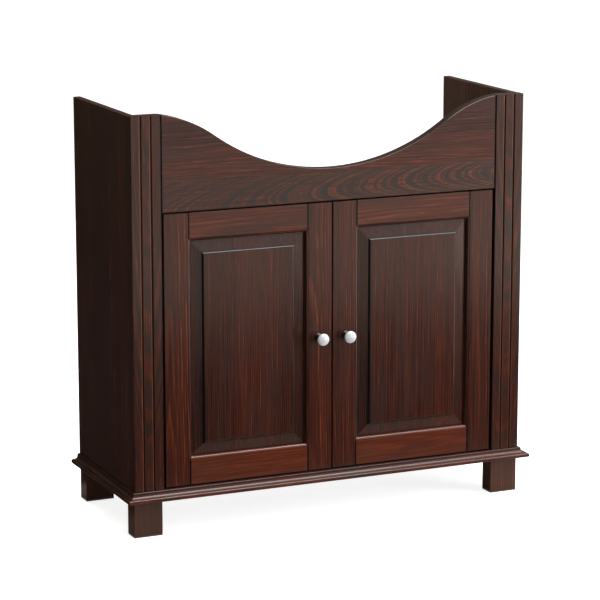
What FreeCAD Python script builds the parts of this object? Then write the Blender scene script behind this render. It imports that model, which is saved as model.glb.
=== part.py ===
import FreeCAD, Part
import math
import os
import Sketcher

# A vanity cabinet to stand under a hung basin: an open-topped box on four feet, with two doors.
# X runs to the right, Y to the back and Z up. The floor is Z = 0. Lengths are in millimetres.

doc = FreeCAD.newDocument("vanity_cabinet")
sheet = doc.addObject("Spreadsheet::Sheet", "dims")
driven_names = []
finished = []


class Size:
    """A length that keeps its formula in the sheet's words beside its present value."""

    def __init__(self, text, value):
        self.text = text
        self.value = value

    def joined(self, sign, other, value):
        return Size(f"({self.text} {sign} {other.text})", value)

    def __add__(self, other):
        other = as_size(other)
        return self.joined("+", other, self.value + other.value)

    def __sub__(self, other):
        other = as_size(other)
        return self.joined("-", other, self.value - other.value)

    def __mul__(self, other):
        other = as_size(other)
        return self.joined("*", other, self.value * other.value)

    def __truediv__(self, other):
        other = as_size(other)
        return self.joined("/", other, self.value / other.value)

    def __radd__(self, other):
        return as_size(other) + self

    def __rsub__(self, other):
        return as_size(other) - self

    def __rmul__(self, other):
        return as_size(other) * self

    def __neg__(self):
        return as_size(-1) * self


def as_size(value):
    return value if isinstance(value, Size) else Size(f"({value})", value)


def root_of(square):
    return Size(f"sqrt({square.text})", math.sqrt(square.value))


def drive(name, value):
    """Put one driving dimension in the sheet."""
    row = len(driven_names) + 1
    sheet.set(f"A{row}", name)
    sheet.set(f"B{row}", str(value))
    sheet.setAlias(f"B{row}", name)
    driven_names.append(name)
    return Size("dims." + name, value)


# Driving dimensions: the body
body_width = drive("body_width", 652)
body_depth = drive("body_depth", 250)
total_height = drive("total_height", 640)
side_thick = drive("side_thick", 12)
pilaster_width = drive("pilaster_width", 48)
pilaster_thick = drive("pilaster_thick", 20)
flute_width = drive("flute_width", 2.4)
flute_depth = drive("flute_depth", 3)
flute_ease = drive("flute_ease", 1.5)
apron_height = drive("apron_height", 146)
apron_thick = drive("apron_thick", 18)
apron_setback = drive("apron_setback", 1)
apron_play = drive("apron_play", 0.8)
scoop_depth = drive("scoop_depth", 96)
shoulder_radius = drive("shoulder_radius", 196)
shoulder_out = drive("shoulder_out", 30)
edge_ease = drive("edge_ease", 1.2)

# Driving dimensions: the base
foot_height = drive("foot_height", 57)
foot_width = drive("foot_width", 46)
foot_depth = drive("foot_depth", 28)
foot_front_inset = drive("foot_front_inset", 4.5)
foot_back_inset = drive("foot_back_inset", 2)
base_height = drive("base_height", 15)
base_reach = drive("base_reach", 14)
base_member = drive("base_member", 60)
bottom_thick = drive("bottom_thick", 9)
bottom_lap = drive("bottom_lap", 10)

# Driving dimensions: the doors
door_thick = drive("door_thick", 19)
door_setback = drive("door_setback", 2)
swing_play = drive("swing_play", 0.17)
door_gap = drive("door_gap", 2.5)
stile_width = drive("stile_width", 43)
stick_width = drive("stick_width", 5)
stick_step = drive("stick_step", 1)
stick_round = drive("stick_round", 4.5)
groove_width = drive("groove_width", 6)
groove_depth = drive("groove_depth", 13)
groove_front = drive("groove_front", 7)
tongue_play = drive("tongue_play", 0.1)
tongue_short = drive("tongue_short", 3)
bevel_play = drive("bevel_play", 0.4)
bevel_width = drive("bevel_width", 18)
bevel_rise = drive("bevel_rise", 2.8)
field_step = drive("field_step", 3.6)
field_round = drive("field_round", 3.5)
knob_size = drive("knob_size", 18)
knob_reach = drive("knob_reach", 22)

# Driving dimensions: hinges, dowels and screws
hinge_margin = drive("hinge_margin", 80)
cup_radius = drive("cup_radius", 13)
cup_tab = drive("cup_tab", 2.5)
cup_offset = drive("cup_offset", 1)
cup_wall = drive("cup_wall", 0.8)
mouth_play = drive("mouth_play", 0.31)
pin_radius = drive("pin_radius", 1.5)
pin_play = drive("pin_play", 0.05)
flange_thick = drive("flange_thick", 0.8)
flange_width = drive("flange_width", 14)
flange_margin = drive("flange_margin", 5)
cup_screw_hold = drive("cup_screw_hold", 9)
eye_radius = drive("eye_radius", 3.15)
eye_play = drive("eye_play", 0.55)
arm_thick = drive("arm_thick", 2)
arm_height = drive("arm_height", 8)
crank_out = drive("crank_out", 15)
crank_back = drive("crank_back", 30)
plate_thick = drive("plate_thick", 6)
plate_start = drive("plate_start", 27)
plate_length = drive("plate_length", 39)
plate_tall = drive("plate_tall", 40)
plate_screw_spread = drive("plate_screw_spread", 14)
batten_depth = drive("batten_depth", 65)
batten_drop = drive("batten_drop", 14)
rail_height = drive("rail_height", 60)
rail_thick = drive("rail_thick", 16)
rail_drop = drive("rail_drop", 14)
wall_hole_spacing = drive("wall_hole_spacing", 400)
wall_hole_radius = drive("wall_hole_radius", 3.5)
dowel_radius = drive("dowel_radius", 4)
thin_dowel_radius = drive("thin_dowel_radius", 3)
dowel_length = drive("dowel_length", 30)
dowel_base_hold = drive("dowel_base_hold", 10)
rail_dowel_hold = drive("rail_dowel_hold", 8)
screw_radius = drive("screw_radius", 1.6)
screw_head_radius = drive("screw_head_radius", 3.2)
screw_head_thick = drive("screw_head_thick", 1.8)
screw_length = drive("screw_length", 13)
knob_screw_radius = drive("knob_screw_radius", 2)
knob_screw_hold = drive("knob_screw_hold", 9)
knob_screw_head = drive("knob_screw_head", 2.4)
catch_width = drive("catch_width", 62)
catch_depth = drive("catch_depth", 20)
catch_rise = drive("catch_rise", 24)
catch_gap = drive("catch_gap", 0.3)
catch_screw_hold = drive("catch_screw_hold", 9)
strike_thick = drive("strike_thick", 1.5)
strike_radius = drive("strike_radius", 8)
strike_drop = drive("strike_drop", 10)
stub_radius = drive("stub_radius", 2.5)
stub_length = drive("stub_length", 6)
magnet_radius = drive("magnet_radius", 5)
magnet_depth = drive("magnet_depth", 8)
magnet_proud = drive("magnet_proud", 0.5)

# Places worked out from the driving dimensions
zero = as_size(0)
half_width = body_width / 2
front_y = -(body_depth + door_setback - knob_reach) / 2
back_y = front_y + body_depth
base_top = foot_height + base_height
wall_height = total_height - base_top
opening_half = half_width - pilaster_width
apron_half = opening_half - apron_play
apron_bottom = total_height - apron_height
batten_top = apron_bottom - batten_drop
rail_bottom = apron_bottom - rail_drop - rail_height
door_front = front_y + door_setback
door_back = door_front + door_thick
door_bottom = base_top + door_gap
door_height = apron_bottom - door_gap - door_bottom
door_top = door_bottom + door_height

# The pivot lies as deep in the cup as lets the slanting arm out of its mouth, and the gap beside
# the door lets its front corner swing past the pilaster
cup_inside = cup_radius - cup_wall
cup_mouth = root_of(cup_inside * cup_inside - arm_height * arm_height / 4) - cup_offset
pivot_back = cup_mouth - mouth_play - flange_thick - arm_thick * math.sqrt(0.5)
pivot_front = door_thick - pivot_back
pivot_inset = cup_tab + cup_radius + cup_offset
cup_depth = pivot_back + eye_radius + eye_play + cup_wall
hinge_gap = root_of(pivot_inset * pivot_inset + pivot_front * pivot_front) - pivot_inset + swing_play
door_width = opening_half - hinge_gap - door_gap / 2
pivot_x = opening_half - hinge_gap - pivot_inset
pivot_y = door_back - pivot_back
hinge_heights = [door_bottom + hinge_margin, door_top - hinge_margin]
plank_width = stile_width - stick_width
knob_x = door_gap / 2 + stile_width / 2
knob_z = door_bottom + door_height / 2
strike_x = catch_width / 4
strike_z = door_top - strike_drop
cup_screw_spread = cup_radius + flange_margin
batten_face = opening_half
arm_face = batten_face - plate_thick
plate_screw_y = pivot_y + plate_start + plate_length * 0.35
arm_screw_y = pivot_y + plate_start + plate_length * 0.7
side_dowel_places = [front_y + body_depth * 0.28, back_y - body_depth * 0.2]
apron_dowel_places = [apron_bottom + apron_height * 0.2, apron_bottom + apron_height * 0.7]
rail_dowel_places = [rail_bottom + rail_height * 0.25, rail_bottom + rail_height * 0.75]
foot_dowel_spread = foot_width * 0.28
sides = {"left": -1, "right": 1}


# Small tools for making and joining solids

def place(item, x, y, z, turn=None):
    where = [as_size(value) for value in (x, y, z)]
    base = FreeCAD.Vector(*[value.value for value in where])
    item.Placement = FreeCAD.Placement(base, turn or FreeCAD.Rotation())
    for axis, value in zip("xyz", where):
        item.setExpression(f"Placement.Base.{axis}", value.text)


def bind(item, **lengths):
    for name, value in lengths.items():
        value = as_size(value)
        setattr(item, name, value.value)
        item.setExpression(name, value.text)


def box(name, at, size, turn=None):
    item = doc.addObject("Part::Box", name)
    bind(item, Length=size[0], Width=size[1], Height=size[2])
    place(item, *at, turn)
    return item


turns = {
    "x": FreeCAD.Rotation(FreeCAD.Vector(0, 1, 0), 90),
    "y": FreeCAD.Rotation(FreeCAD.Vector(1, 0, 0), -90),
    "z": FreeCAD.Rotation(),
}


def rod(name, at, radius, length, along):
    item = doc.addObject("Part::Cylinder", name)
    bind(item, Radius=radius, Height=length)
    place(item, *at, turns[along])
    return item


def fuse(name, items):
    item = doc.addObject("Part::MultiFuse", name)
    item.Shapes = items
    item.Refine = True
    return item


def cut(name, base, tools):
    item = doc.addObject("Part::Cut", name)
    item.Base = base
    item.Tool = tools[0] if len(tools) == 1 else fuse(name + "_tools", tools)
    return item


def group(name, items):
    item = doc.addObject("Part::Compound", name)
    item.Links = items
    return item


def ease(name, base, radius, wanted):
    """Round the edges of a board that the wanted test picks."""
    doc.recompute()
    picked = [number for number, edge in enumerate(base.Shape.Edges, 1) if wanted(edge.BoundBox)]
    item = doc.addObject("Part::Fillet", name)
    item.Base = base
    item.Edges = [(number, radius.value, radius.value) for number in picked]
    return item


def node(label, item):
    item.Label = label
    finished.append(item)
    return item


def side_start(side, near, far):
    """The lower X of a box that spans near to far, measured from the middle to one side."""
    return as_size(near) if side > 0 else -as_size(far)


def is_upright(bounds):
    return bounds.ZLength > 1 and bounds.XLength < 0.01 and bounds.YLength < 0.01


def lies_at(low, high, place_value):
    return abs(low - place_value) < 0.01 and abs(high - place_value) < 0.01


# Sketched outlines

def plane_of(body, role):
    return next(item for item in body.Origin.OriginFeatures if item.Role == role)


def new_body(name):
    return doc.addObject("PartDesign::Body", name)


def new_sketch(body, name, role):
    sketch = body.newObject("Sketcher::SketchObject", name)
    sketch.AttachmentSupport = [(plane_of(body, role), "")]
    sketch.MapMode = "FlatFace"
    return sketch


def hold(sketch, kind, geometry, point, value):
    """Fix one coordinate of a point, or a radius, to a length in the sheet."""
    if kind == "Radius":
        number = sketch.addConstraint(Sketcher.Constraint(kind, geometry, value.value))
    elif abs(value.value) < 1e-9:
        axis = -2 if kind == "DistanceX" else -1
        sketch.addConstraint(Sketcher.Constraint("PointOnObject", geometry, point, axis))
        return
    else:
        number = sketch.addConstraint(Sketcher.Constraint(kind, -1, 1, geometry, point, value.value))
    name = f"size_{number}"
    sketch.renameConstraint(number, name)
    sketch.setExpression("Constraints." + name, value.text)


def arc_between(start, end, radius, bulges_left):
    """The short arc from start to end; its middle lies left of the run when bulges_left is set."""
    middle = (start + end) * 0.5
    run = end - start
    reach = math.sqrt(max(radius ** 2 - (run.Length / 2) ** 2, 0))
    left = FreeCAD.Vector(-run.y, run.x, 0).normalize()
    centre = middle - left * reach if bulges_left else middle + left * reach
    first, last = (end, start) if bulges_left else (start, end)
    angles = [math.atan2(point.y - centre.y, point.x - centre.x) for point in (first, last)]
    return Part.ArcOfCircle(Part.Circle(centre, FreeCAD.Vector(0, 0, 1), radius), *angles)


def outline(sketch, corners):
    """Draw a closed outline. A corner is (x, y) or (x, y, radius, side), with an arc to the next."""
    spots = [FreeCAD.Vector(as_size(corner[0]).value, as_size(corner[1]).value, 0) for corner in corners]
    first = sketch.GeometryCount
    starts = []
    ends = []
    for number, corner in enumerate(corners):
        begin = spots[number]
        finish = spots[(number + 1) % len(corners)]
        if len(corner) == 2:
            sketch.addGeometry(Part.LineSegment(begin, finish), False)
            starts.append(1)
            ends.append(2)
        else:
            left = corner[3] == "left"
            sketch.addGeometry(arc_between(begin, finish, as_size(corner[2]).value, left), False)
            starts.append(2 if left else 1)
            ends.append(1 if left else 2)
    for number, corner in enumerate(corners):
        following = (number + 1) % len(corners)
        pair = (first + number, ends[number], first + following, starts[following])
        sketch.addConstraint(Sketcher.Constraint("Coincident", *pair))
    for number, corner in enumerate(corners):
        hold(sketch, "DistanceX", first + number, starts[number], as_size(corner[0]))
        hold(sketch, "DistanceY", first + number, starts[number], as_size(corner[1]))
        if len(corner) > 2:
            hold(sketch, "Radius", first + number, None, as_size(corner[2]))


def pad(body, sketch, length):
    item = body.newObject("PartDesign::Pad", body.Name + "_pad")
    item.Profile = sketch
    bind(item, Length=length)
    body.Tip = item
    return item


# Side panels and fluted pilasters

def side_panel(word, side):
    x = side_start(side, half_width - side_thick, half_width)
    y = front_y + pilaster_thick
    board = box(word + "_side_board", (x, y, base_top), (side_thick, back_y - y, wall_height))
    bored = cut(word + "_side_bored", board, side_dowels(word, side) + rail_dowels(word, side))
    top = total_height.value
    eased = ease(word + "_side_eased", bored, edge_ease, lambda edge: lies_at(edge.ZMin, edge.ZMax, top)
                 and edge.YLength > side_thick.value)
    node(word + "_side_panel", eased)


def side_dowels(word, side):
    x = side * (half_width - side_thick / 2)
    start = base_top - dowel_base_hold
    return [rod(f"{word}_side_dowel_{n}", (x, y, start), thin_dowel_radius, dowel_length, "z")
            for n, y in enumerate(side_dowel_places)]


def rail_dowels(word, side):
    outer = half_width - side_thick + rail_dowel_hold
    x = side_start(side, outer - dowel_length, outer)
    y = back_y - rail_thick / 2
    return [rod(f"{word}_rail_dowel_{n}", (x, y, z), thin_dowel_radius, dowel_length, "x")
            for n, z in enumerate(rail_dowel_places)]


def pilaster_dowel(word, side):
    x = side * (half_width - pilaster_width / 2)
    y = front_y + pilaster_thick / 2
    start = base_top - dowel_base_hold
    return rod(word + "_pilaster_dowel", (x, y, start), dowel_radius, dowel_length, "z")


def apron_dowels(word, side):
    x = side_start(side, opening_half - dowel_length / 2, opening_half + dowel_length / 2)
    y = front_y + apron_setback + apron_thick / 2
    return [rod(f"{word}_apron_dowel_{n}", (x, y, z), dowel_radius, dowel_length, "x")
            for n, z in enumerate(apron_dowel_places)]


def pilaster_outline():
    corner_round = edge_ease * 1.5
    corners = [(zero, pilaster_thick), (zero, corner_round, corner_round, "right"), (corner_round, zero)]
    for third in (1, 2):
        centre = pilaster_width * third / 3
        left = centre - flute_width / 2
        right = centre + flute_width / 2
        corners += [
            (left - flute_ease, zero, flute_ease, "right"),
            (left, flute_ease),
            (left, flute_depth),
            (right, flute_depth),
            (right, flute_ease, flute_ease, "right"),
            (right + flute_ease, zero),
        ]
    corners += [
        (pilaster_width - corner_round, zero, corner_round, "right"),
        (pilaster_width, corner_round),
        (pilaster_width, pilaster_thick),
    ]
    return corners


def pilaster(word, side):
    body = new_body(word + "_pilaster_body")
    sketch = new_sketch(body, word + "_pilaster_outline", "XY_Plane")
    outline(sketch, pilaster_outline())
    pad(body, sketch, wall_height)
    place(body, side_start(side, opening_half, half_width), front_y, base_top)
    holes = [pilaster_dowel(word, side)] + apron_dowels(word, side)
    node(word + "_pilaster", cut(word + "_pilaster_bored", body, holes))


# The apron, with its cut-out for the basin

def apron_outline():
    """Two shoulder arcs run from the top corners into one scoop arc, which they touch smoothly.

    A narrow shadow gap is left at each end, beside the pilasters.
    """
    span = apron_half * 2
    centre_out = apron_half + shoulder_out
    centre_drop = root_of(shoulder_radius * shoulder_radius - shoulder_out * shoulder_out)
    lift = centre_drop - scoop_depth
    squares = centre_out * centre_out + lift * lift - shoulder_radius * shoulder_radius
    scoop_radius = squares / ((shoulder_radius - lift) * 2)
    share = scoop_radius / (scoop_radius + shoulder_radius)
    scoop_centre_y = apron_height - scoop_depth + scoop_radius
    touch_x = centre_out * share
    touch_y = scoop_centre_y - (scoop_radius + lift) * share
    return [
        (zero, zero),
        (span, zero),
        (span, apron_height, shoulder_radius, "right"),
        (apron_half + touch_x, touch_y, scoop_radius, "left"),
        (apron_half - touch_x, touch_y, shoulder_radius, "right"),
        (zero, apron_height),
    ]


def apron():
    body = new_body("apron_body")
    sketch = new_sketch(body, "apron_outline", "XZ_Plane")
    outline(sketch, apron_outline())
    pad(body, sketch, apron_thick)
    place(body, -apron_half, front_y + apron_setback + apron_thick, apron_bottom)
    dowels = [dowel for word, side in sides.items() for dowel in apron_dowels(word + "_inner", side)]
    bored = cut("apron_bored", body, dowels + catch_screw_shanks("bore"))
    front = (front_y + apron_setback).value
    back = (front_y + apron_setback + apron_thick).value

    def is_eased(edge):
        if lies_at(edge.YMin, edge.YMax, front):
            return edge.XLength > apron_thick.value or is_upright(edge)
        return edge.XLength > apron_thick.value and lies_at(edge.YMin, edge.YMax, back)

    arris = edge_ease * 0.75
    node("apron", ease("apron_eased", bored, arris, is_eased))


# The base: three moulded members, a rear rail, the bottom panel and four feet

def base_profile():
    outer = base_member + base_reach
    nose = base_height * 0.16
    lip = base_height * 0.44
    cove = base_reach * 0.4
    bead = base_member + (base_reach - cove) * 0.45
    bead_round = base_height * 0.07
    return [
        (zero, zero),
        (outer - nose, zero, nose, "right"),
        (outer, nose),
        (outer, lip - nose, nose, "right"),
        (outer - nose, lip),
        (bead + cove, lip, cove, "left"),
        (bead, lip + cove),
        (bead, base_height - bead_round, bead_round, "right"),
        (bead - bead_round, base_height),
        (bottom_lap, base_height),
        (bottom_lap, base_height - bottom_thick),
        (zero, base_height - bottom_thick),
    ]


def moulded_member(name, length):
    body = new_body(name + "_body")
    sketch = new_sketch(body, name + "_outline", "XZ_Plane")
    outline(sketch, base_profile())
    pad(body, sketch, length)
    return body


def corner_block(name, side, keeps_front):
    """A block with one face on the mitre plane of a front corner."""
    reach = (base_member + base_reach) * 3
    x = side * (half_width + base_reach)
    y = front_y - base_reach
    quarter = math.pi / 4
    run = FreeCAD.Vector(-side * math.cos(quarter), math.sin(quarter), 0)
    away = FreeCAD.Vector(side * math.sin(quarter), math.cos(quarter), 0) * (1 if keeps_front else -1)
    low_x = x - run.x * reach / 2
    low_y = y - run.y * reach / 2
    clockwise = run.cross(away).z < 0
    if clockwise:
        low_x = low_x + run.x * reach
        low_y = low_y + run.y * reach
        run = run * -1
    turn = FreeCAD.Rotation(FreeCAD.Vector(0, 0, 1), math.degrees(math.atan2(run.y, run.x)))
    return box(name, (low_x, low_y, foot_height - base_height), (reach, reach, base_height * 3), turn)


def base_tools(word, side):
    name = word + "_base"
    return [pilaster_dowel(name, side)] + side_dowels(name, side) + foot_dowels(word, side)


def base_frame():
    upright = FreeCAD.Vector(0, 0, 1)
    outer = half_width + base_reach
    front = moulded_member("base_front", outer * 2)
    place(front, outer, front_y + base_member, foot_height, FreeCAD.Rotation(upright, -90))
    tools = []
    for word, side in sides.items():
        tools += [corner_block(f"{word}_front_mitre", side, True)] + base_tools(word + "_front", side)
    node("base_front_moulding", cut("base_front_cut", front, tools))

    side_length = body_depth + base_reach
    for word, side in sides.items():
        member = moulded_member(f"base_{word}", side_length)
        if side > 0:
            place(member, half_width - base_member, back_y, foot_height)
        else:
            turn = FreeCAD.Rotation(upright, 180)
            place(member, base_member - half_width, front_y - base_reach, foot_height, turn)
        tools = [corner_block(f"{word}_side_mitre", side, False)] + base_tools(word + "_return", side)
        node(f"base_{word}_moulding", cut(f"base_{word}_cut", member, tools))

    inner = half_width - base_member
    rear_y = back_y - base_member
    rear = box("base_rear_board", (-inner, rear_y, foot_height), (inner * 2, base_member, base_height))
    lap_size = (inner * 2, bottom_lap, bottom_thick)
    lap = box("base_rear_lap", (-inner, rear_y, base_top - bottom_thick), lap_size)
    node("base_rear_rail", cut("base_rear_cut", rear, [lap]))

    lap_edge = inner + bottom_lap
    depth = body_depth - base_member * 2 + bottom_lap * 2
    at = (-lap_edge, front_y + base_member - bottom_lap, base_top - bottom_thick)
    node("bottom_panel", box("bottom_board", at, (lap_edge * 2, depth, bottom_thick)))


def foot_places(side):
    x = side * (half_width - foot_width / 2)
    return {
        "front": (x, front_y + foot_front_inset + foot_depth / 2),
        "rear": (x, back_y - foot_back_inset - foot_depth / 2),
    }


def foot_dowels(word, side):
    start = foot_height + dowel_base_hold - dowel_length
    dowels = []
    for end, (x, y) in foot_places(side).items():
        for n, shift in enumerate((-foot_dowel_spread, foot_dowel_spread)):
            name = f"{word}_{end}_foot_dowel_{n}"
            dowels.append(rod(name, (x + shift, y, start), dowel_radius, dowel_length, "z"))
    return dowels


def feet():
    for word, side in sides.items():
        for end, (x, y) in foot_places(side).items():
            corner = (x - foot_width / 2, y - foot_depth / 2, zero)
            block = box(f"{end}_{word}_foot_block", corner, (foot_width, foot_depth, foot_height))
            bored = cut(f"{end}_{word}_foot_bored", block, foot_dowels(f"{end}_{word}", side))
            outer = [corner[0].value, (corner[0] + foot_width).value]
            eased = ease(f"{end}_{word}_foot_eased", bored, edge_ease, lambda edge: is_upright(edge)
                         and min(abs(edge.XMin - value) for value in outer) < 0.01)
            node(f"{end}_{word}_foot", eased)


# Rails, battens and dowels inside the body

def rear_rail():
    inner = half_width - side_thick
    y = back_y - rail_thick
    board = box("rear_rail_board", (-inner, y, rail_bottom), (inner * 2, rail_thick, rail_height))
    tools = []
    for word, side in sides.items():
        tools += rail_dowels(word + "_inner", side)
        x = side * wall_hole_spacing / 2
        at = (x, y, rail_bottom + rail_height / 2)
        tools.append(rod(word + "_wall_hole", at, wall_hole_radius, rail_thick, "y"))
    node("rear_rail", cut("rear_rail_bored", board, tools))


def hinge_batten(word, side):
    x = side_start(side, opening_half, half_width - side_thick)
    y = front_y + pilaster_thick
    size = (pilaster_width - side_thick, batten_depth, batten_top - base_top)
    board = box(word + "_batten_board", (x, y, base_top), size)
    holes = plate_screw_shanks(word + "_batten", side)
    node(word + "_hinge_batten", cut(word + "_batten_bored", board, holes))


def dowel_groups():
    made = {place_word + "_dowels": [] for place_word in ("apron", "pilaster", "side", "rail", "foot")}
    for word, side in sides.items():
        name = word + "_loose"
        made["apron_dowels"] += apron_dowels(name, side)
        made["pilaster_dowels"].append(pilaster_dowel(name, side))
        made["side_dowels"] += side_dowels(name, side)
        made["rail_dowels"] += rail_dowels(name, side)
        made["foot_dowels"] += foot_dowels(name, side)
    for label, items in made.items():
        node(label, group(label + "_group", items))


# Hinges: a cup in the door, a pin across it, and a cranked arm on a plate in the body

def hinge_arm(word, side, number, z):
    low = z - arm_height / 2
    half = arm_thick / 2
    name = f"{word}_arm_{number}"
    eye = rod(name + "_eye", (side * pivot_x, pivot_y, low), eye_radius, arm_height, "z")
    slant = half * math.sqrt(0.5)
    turn = FreeCAD.Rotation(FreeCAD.Vector(0, 0, 1), 90 + side * 45)
    leg = box(name + "_leg", (side * pivot_x + slant, pivot_y + side * slant, low),
              (crank_out * math.sqrt(2) + half, arm_thick, arm_height), turn)
    inward = pivot_x - crank_out
    back_x = side_start(side, inward - half, inward + half)
    back_leg = box(name + "_back", (back_x, pivot_y + crank_out - half, low),
                   (arm_thick, crank_back - crank_out + arm_thick, arm_height))
    cross_y = pivot_y + crank_back - half
    cross_leg = box(name + "_cross", (side_start(side, inward - half, arm_face), cross_y, low),
                    (arm_face - inward + half, arm_thick, arm_height))
    seat = box(name + "_seat", (side_start(side, arm_face - arm_thick, arm_face), cross_y, low),
               (arm_thick, plate_start + plate_length - crank_back - half, arm_height))
    solid = fuse(name + "_solid", [eye, leg, back_leg, cross_leg, seat])
    bore = rod(name + "_bore", (side * pivot_x, pivot_y, low), pin_radius + pin_play, arm_height, "z")
    return cut(name, solid, [bore, arm_screw_shank(name, side, z)])


def arm_screw_shank(name, side, z):
    length = arm_thick + plate_thick * 0.7
    x = side_start(side, arm_face - arm_thick, arm_face - arm_thick + length)
    return rod(name + "_screw", (x, arm_screw_y, z), screw_radius, length, "x")


def plate_screw_shanks(name, side):
    x = side_start(side, arm_face, arm_face + screw_length)
    return [rod(f"{name}_plate_screw_{number}_{end}", (x, plate_screw_y, z + end * plate_screw_spread),
                screw_radius, screw_length, "x")
            for number, z in enumerate(hinge_heights) for end in (-1, 1)]


def hinge_metal(word, side):
    arms = []
    plates = []
    plate_heads = []
    arm_screws = []
    for number, z in enumerate(hinge_heights):
        name = f"{word}_plate_{number}"
        arms.append(hinge_arm(word, side, number, z))
        at = (side_start(side, arm_face, batten_face), pivot_y + plate_start, z - plate_tall / 2)
        plate = box(name, at, (plate_thick, plate_length, plate_tall))
        bores = plate_screw_shanks(name, side) + [arm_screw_shank(name, side, z)]
        plates.append(cut(name + "_bored", plate, bores))
        head_x = side_start(side, arm_face - screw_head_thick, arm_face)
        for end in (-1, 1):
            at = (head_x, plate_screw_y, z + end * plate_screw_spread)
            plate_heads.append(rod(f"{name}_head_{end}", at, screw_head_radius, screw_head_thick, "x"))
        head_x = side_start(side, arm_face - arm_thick - screw_head_thick, arm_face - arm_thick)
        at = (head_x, arm_screw_y, z)
        head = rod(f"{word}_arm_head_{number}", at, screw_head_radius, screw_head_thick, "x")
        shank = arm_screw_shank(f"{word}_loose_{number}", side, z)
        arm_screws.append(fuse(f"{word}_arm_screw_{number}", [head, shank]))
    node(word + "_hinge_arms", group(word + "_arms_group", arms))
    node(word + "_hinge_plates", group(word + "_plates_group", plates))
    shanks = plate_screw_shanks(word + "_loose", side)
    plate_screws = [fuse(f"{shank.Name}_solid", [head, shank]) for head, shank in zip(plate_heads, shanks)]
    return plate_screws, arm_screws


# The doors: framed panels with moulded inner edges

def member_outline():
    groove_back = groove_front + groove_width
    arris = edge_ease / 4
    return [
        (zero, door_thick),
        (zero, arris, arris, "right"),
        (arris, zero),
        (plank_width, zero),
        (plank_width, stick_step),
        (stile_width - stick_round, stick_step, stick_round, "right"),
        (stile_width, stick_step + stick_round),
        (stile_width, groove_front),
        (stile_width - groove_depth, groove_front),
        (stile_width - groove_depth, groove_back),
        (stile_width, groove_back),
        (stile_width, door_thick),
    ]


def mitre_outlines(length, shoulder):
    """The ends of the moulded strip that are cut away, in two outlines across the member's face."""
    past = stile_width + stick_width
    fall = shoulder + stick_width * 2
    low = [(plank_width, zero), (past, zero), (past, fall), (plank_width, shoulder)]
    high = [(plank_width, length), (plank_width, length - shoulder), (past, length - fall), (past, length)]
    if shoulder is zero:
        low.pop(3)
        high.pop(1)
    return low, high


def frame_member(name, length, shoulder):
    """A stile or rail; its moulded strip is mitred beyond the shoulder at each end."""
    body = new_body(name + "_body")
    sketch = new_sketch(body, name + "_outline", "XY_Plane")
    outline(sketch, member_outline())
    pad(body, sketch, length)
    mitre = new_sketch(body, name + "_mitre", "XZ_Plane")
    for corners in mitre_outlines(length, shoulder):
        outline(mitre, corners)
    pocket = body.newObject("PartDesign::Pocket", name + "_pocket")
    pocket.Profile = mitre
    pocket.Type = "ThroughAll"
    body.Tip = pocket
    return body


def turned(degrees):
    return FreeCAD.Rotation(FreeCAD.Vector(0, 1, 0), degrees)


def door(word, side):
    inner_x = door_gap / 2
    low_x = side_start(side, inner_x, inner_x + door_width)
    high_x = low_x + door_width
    left_stile = frame_member(word + "_door_low_stile", door_height, plank_width)
    place(left_stile, low_x, door_front, door_bottom)
    right_stile = frame_member(word + "_door_high_stile", door_height, plank_width)
    place(right_stile, high_x, door_front, door_top, turned(180))
    hinge_stile, meeting_stile = (left_stile, right_stile) if side < 0 else (right_stile, left_stile)

    bores = cup_bodies(word + "_bore", side) + cup_screw_shanks(word + "_bore", side)
    node(word + "_door_hinge_stile", cut(word + "_hinge_stile_bored", hinge_stile, bores))
    bores = [knob_bore(word + "_stile", side), strike_stub(word + "_stile", side)]
    node(word + "_door_meeting_stile", cut(word + "_meeting_stile_bored", meeting_stile, bores))

    for end in ("bottom", "top"):
        door_rail(word, end, low_x, high_x)
    raised_panel(word, low_x)
    door_hinges(word, side)
    door_fittings(word, side)


def door_rail(word, end, low_x, high_x):
    name = f"{word}_door_{end}_rail"
    rail = frame_member(name, door_width - plank_width * 2, zero)
    tenon_haunch = stick_width
    tenon_length = groove_depth - stick_width
    tenon_height = stile_width - groove_depth - tenon_haunch
    if end == "bottom":
        place(rail, high_x - plank_width, door_front, door_bottom, turned(-90))
        tenon_z = door_bottom + tenon_haunch
    else:
        place(rail, low_x + plank_width, door_front, door_top, turned(90))
        tenon_z = door_top - tenon_haunch - tenon_height
    tenons = [box(f"{name}_tenon_{n}", (x, door_front + groove_front, tenon_z),
                  (tenon_length, groove_width, tenon_height))
              for n, x in enumerate((low_x + plank_width - tenon_length, high_x - plank_width))]
    whole = fuse(name + "_whole", [rail] + tenons)
    front = door_front.value
    joint_ease = edge_ease * 0.75
    eased = ease(name + "_eased", whole, joint_ease, lambda edge: is_upright(edge)
                 and lies_at(edge.YMin, edge.YMax, front) and edge.ZLength > plank_width.value / 2)
    node(name, eased)


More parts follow.
